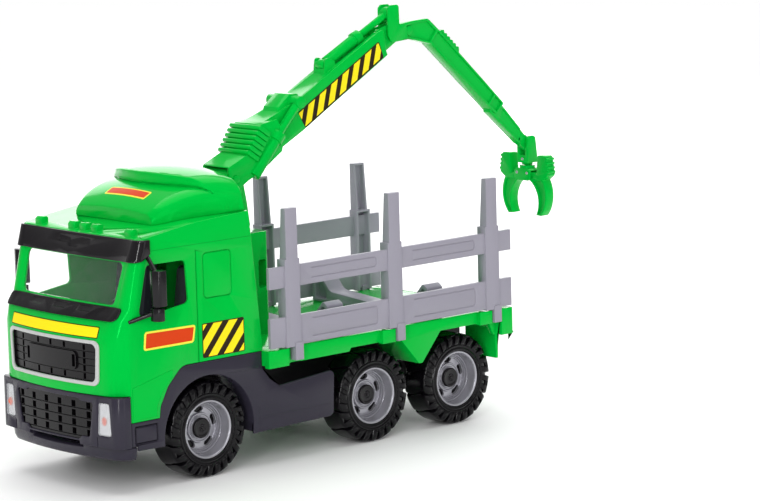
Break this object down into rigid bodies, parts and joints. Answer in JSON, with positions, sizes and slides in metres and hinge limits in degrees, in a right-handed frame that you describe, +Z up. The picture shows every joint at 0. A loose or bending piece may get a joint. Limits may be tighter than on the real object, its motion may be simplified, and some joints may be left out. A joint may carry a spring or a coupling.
{
  "type": "toy logging truck",
  "caption": "Moulded plastic toy logging truck: cab over the front axle, flat bed between stake panels, wheels that roll and a jointed loading crane with a claw grapple.",
  "frame": {"origin": "middle of the whole toy's footprint, on the floor its tyres stand on", "axes": "+X forwards, from the bed to the cab; +Y to the truck's left; +Z up"},
  "size_m": [0.559, 0.196, 0.365],
  "materials": {
    "body_green": "glossy moulded plastic",
    "dark_grey": "satin moulded plastic",
    "mid_grey": "satin moulded plastic",
    "gloss_black": "glossy moulded plastic",
    "chassis_black": "satin moulded plastic",
    "rim_grey": "satin moulded plastic",
    "tyre_black": "soft matt vinyl",
    "axle_steel": "bright wire rod with black caps",
    "lamp_clear": "silvered lamp insert",
    "interior_grey": "matt moulded plastic",
    "screen_clear": "clear plastic"
  },
  "bodies": {
    "truck": {"chassis": "chassis_black", "tow_hitch": "chassis_black", "cab": "body_green", "roof_deflector": "body_green", "sun_visor": "gloss_black", "cowl": "gloss_black", "grille_frame": "mid_grey", "upper_grille": "gloss_black", "front_bumper": "dark_grey", "lower_grille": "gloss_black", "headlight_left": "lamp_clear", "headlight_right": "lamp_clear", "fender_left": "dark_grey", "fender_right": "dark_grey", "cab_interior": "interior_grey", "steering_wheel": "interior_grey", "windscreen": "screen_clear", "mirror_left": "gloss_black", "mirror_right": "gloss_black", "bed": "body_green", "log_cradle_front": "mid_grey", "log_cradle_rear": "mid_grey", "stake_panel_left": "mid_grey", "stake_panel_right": "mid_grey", "axle_front": "axle_steel", "axle_middle": "axle_steel", "axle_rear": "axle_steel"},
    "wheel_front_left": {"tyre_front_left": "tyre_black", "rim_front_left": "rim_grey"},
    "wheel_front_right": {"tyre_front_right": "tyre_black", "rim_front_right": "rim_grey"},
    "wheel_middle_left": {"tyre_middle_left": "tyre_black", "rim_middle_left": "rim_grey"},
    "wheel_middle_right": {"tyre_middle_right": "tyre_black", "rim_middle_right": "rim_grey"},
    "wheel_rear_left": {"tyre_rear_left": "tyre_black", "rim_rear_left": "rim_grey"},
    "wheel_rear_right": {"tyre_rear_right": "tyre_black", "rim_rear_right": "rim_grey"},
    "column": {"crane_column": "body_green"},
    "boom": {"boom": "body_green"},
    "ram_barrel": {"cylinder_barrel": "body_green"},
    "ram_rod": {"cylinder_rod": "body_green"},
    "jib": {"jib": "body_green"},
    "hanger": {"grapple_hanger": "body_green"},
    "head": {"grapple_head": "body_green"},
    "left_claw": {"claw_left": "body_green"},
    "right_claw": {"claw_right": "body_green"}
  },
  "joints": [
    {"name": "wheel_front_left_spin", "type": "hinge", "parent": "truck", "child": "wheel_front_left", "pos_m": [0.17695, 0.0635, 0.03997], "axis": [0, 1, 0], "continuous": true},
    {"name": "wheel_front_right_spin", "type": "hinge", "parent": "truck", "child": "wheel_front_right", "pos_m": [0.17695, -0.0635, 0.03997], "axis": [0, 1, 0], "continuous": true},
    {"name": "wheel_middle_left_spin", "type": "hinge", "parent": "truck", "child": "wheel_middle_left", "pos_m": [-0.00555, 0.0635, 0.03997], "axis": [0, 1, 0], "continuous": true},
    {"name": "wheel_middle_right_spin", "type": "hinge", "parent": "truck", "child": "wheel_middle_right", "pos_m": [-0.00555, -0.0635, 0.03997], "axis": [0, 1, 0], "continuous": true},
    {"name": "wheel_rear_left_spin", "type": "hinge", "parent": "truck", "child": "wheel_rear_left", "pos_m": [-0.10455, 0.0635, 0.03997], "axis": [0, 1, 0], "continuous": true},
    {"name": "wheel_rear_right_spin", "type": "hinge", "parent": "truck", "child": "wheel_rear_right", "pos_m": [-0.10455, -0.0635, 0.03997], "axis": [0, 1, 0], "continuous": true},
    {"name": "crane_slew", "type": "hinge", "parent": "truck", "child": "column", "pos_m": [0.08895, 0, 0.18596], "axis": [0, 0, 1], "range_deg": [-100, 100]},
    {"name": "boom_lift", "type": "hinge", "parent": "column", "child": "boom", "pos_m": [0.08995, 0, 0.23197], "axis": [0, 1, 0], "range_deg": [-20, 25]},
    {"name": "jib_fold", "type": "hinge", "parent": "boom", "child": "jib", "pos_m": [-0.10405, 0, 0.33997], "axis": [0, 1, 0], "range_deg": [-30, 35]},
    {"name": "cylinder_tilt", "type": "hinge", "parent": "boom", "child": "ram_barrel", "pos_m": [-0.02605, 0, 0.31846], "axis": [0, 1, 0], "range_deg": [-1.96, 2.28]},
    {"name": "rod_slide", "type": "slide", "parent": "ram_barrel", "child": "ram_rod", "axis": [-0.8897, 0, 0.4566], "range_m": [-0.01019, 0.00874]},
    {"name": "grapple_swing", "type": "hinge", "parent": "jib", "child": "hanger", "pos_m": [-0.27205, 0, 0.22496], "axis": [0, 1, 0], "range_deg": [-60, 60]},
    {"name": "grapple_turn", "type": "hinge", "parent": "hanger", "child": "head", "pos_m": [-0.27205, 0, 0.20297], "axis": [0, 0, 1], "range_deg": [-180, 180]},
    {"name": "claw_left_open", "type": "hinge", "parent": "head", "child": "left_claw", "pos_m": [-0.27205, 0.005, 0.19697], "axis": [1, 0, 0], "range_deg": [-20, 16]},
    {"name": "claw_right_open", "type": "hinge", "parent": "head", "child": "right_claw", "pos_m": [-0.27205, -0.005, 0.19697], "axis": [1, 0, 0], "range_deg": [-16, 20]}
  ],
  "couplings": [
    {"joint": "cylinder_tilt", "follows": "jib_fold", "ratio": 0.064},
    {"joint": "rod_slide", "follows": "jib_fold", "m_per_rad": -0.01636},
    {"joint": "claw_right_open", "follows": "claw_left_open", "ratio": -1}
  ]
}
